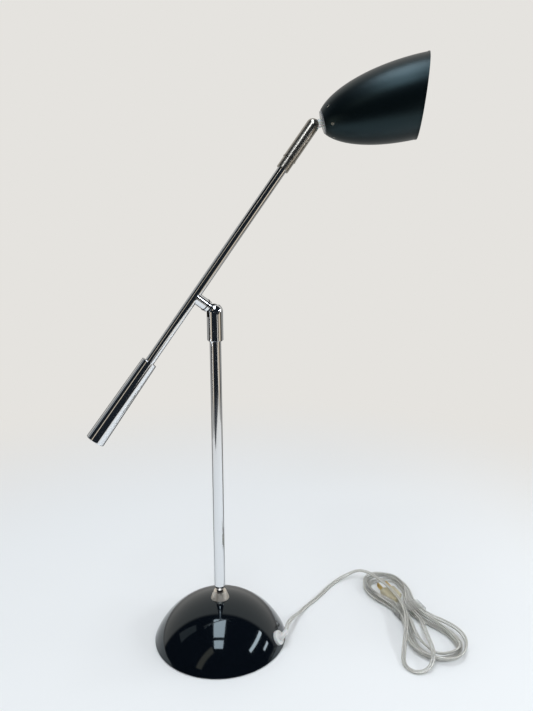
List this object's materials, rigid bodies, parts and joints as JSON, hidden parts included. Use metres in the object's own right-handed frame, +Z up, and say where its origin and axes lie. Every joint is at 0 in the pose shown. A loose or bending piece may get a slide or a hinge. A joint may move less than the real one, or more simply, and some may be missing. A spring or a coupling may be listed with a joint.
{
  "type": "counterweight balance desk lamp",
  "caption": "Desk lamp with a weighted dome base, an upright stem, a tilting arm balanced by a bar counterweight, and a swivelling bullet shade; its cord lies in a tied hank.",
  "frame": {"origin": "middle of the base's underside, on the stem's axis", "axes": "+Z up along the stem, +X towards the shade's end of the arm, whose plane is XZ"},
  "size_m": [0.4274, 0.2521, 0.6951],
  "materials": {
    "black_gloss": "black gloss enamel",
    "black_satin": "satin black paint on spun aluminium",
    "chrome": "polished chrome plate on steel",
    "cast_iron": "rough cast, unpainted",
    "felt": "black felt",
    "zinc_steel": "zinc plated",
    "dark_steel": "dark steel",
    "grey_plastic": "pale grey moulded plastic",
    "smoke_plastic": "smoky translucent plastic",
    "holder": "white thermoset plastic",
    "bulb_glass": "frosted white glass",
    "bulb_cap": "nickel plated screw cap",
    "clear_pvc": "clear flexible cable covering",
    "clear_film": "clear plastic film",
    "amber_pvc": "clear yellowish moulded plastic",
    "brass_blade": "plain brass"
  },
  "bodies": {
    "stand": {"base_shell": "black_gloss", "base_weight": "cast_iron", "base_pad": "felt", "base_nipple": "dark_steel", "base_washer": "zinc_steel", "base_nut": "zinc_steel", "stem_collar": "chrome", "stem_tube": "chrome", "stem_bush": "zinc_steel", "swivel_screw": "zinc_steel", "cord_bushing": "grey_plastic", "cord_lead": "clear_pvc", "cord_hank": "clear_pvc", "cord_tie": "clear_film", "plug_body": "amber_pvc", "plug_blade_left": "brass_blade", "plug_blade_right": "brass_blade"},
    "elbow": {"elbow_sleeve": "chrome", "elbow_pin": "chrome"},
    "knuckle": {"elbow_tongue": "chrome", "elbow_ring": "dark_steel"},
    "arm": {"arm_knuckle": "chrome", "arm_tube": "chrome", "counterweight": "chrome", "head_ferrule": "chrome", "head_ring": "chrome", "head_stud": "zinc_steel"},
    "head": {"head_sleeve": "chrome", "head_pin": "chrome"},
    "shade": {"shade_neck": "grey_plastic", "shade_disc": "smoke_plastic", "shade_shell": "black_satin", "holder_nut": "zinc_steel", "lamp_holder": "holder", "bulb_cap": "bulb_cap", "bulb_glass": "bulb_glass"}
  },
  "joints": [
    {"name": "stem_swivel", "type": "hinge", "parent": "stand", "child": "elbow", "pos_m": [0, 0, 0.4], "axis": [0, 0, 1], "range_deg": [-170, 170]},
    {"name": "elbow_tilt", "type": "hinge", "parent": "elbow", "child": "knuckle", "pos_m": [0, 0, 0.4154], "axis": [0, 1, 0], "range_deg": [-30, 50]},
    {"name": "arm_swivel", "type": "hinge", "parent": "knuckle", "child": "arm", "pos_m": [-0.01103, 0, 0.42402], "axis": [-0.788, 0, 0.6157], "range_deg": [-170, 170]},
    {"name": "head_swivel", "type": "hinge", "parent": "arm", "child": "head", "pos_m": [0.09173, 0, 0.58104], "axis": [0.6157, 0, 0.788], "range_deg": [-170, 170]},
    {"name": "head_tilt", "type": "hinge", "parent": "head", "child": "shade", "pos_m": [0.12023, 0, 0.61753], "axis": [0.452, 0.8192, -0.3531], "range_deg": [-40, 48]}
  ]
}
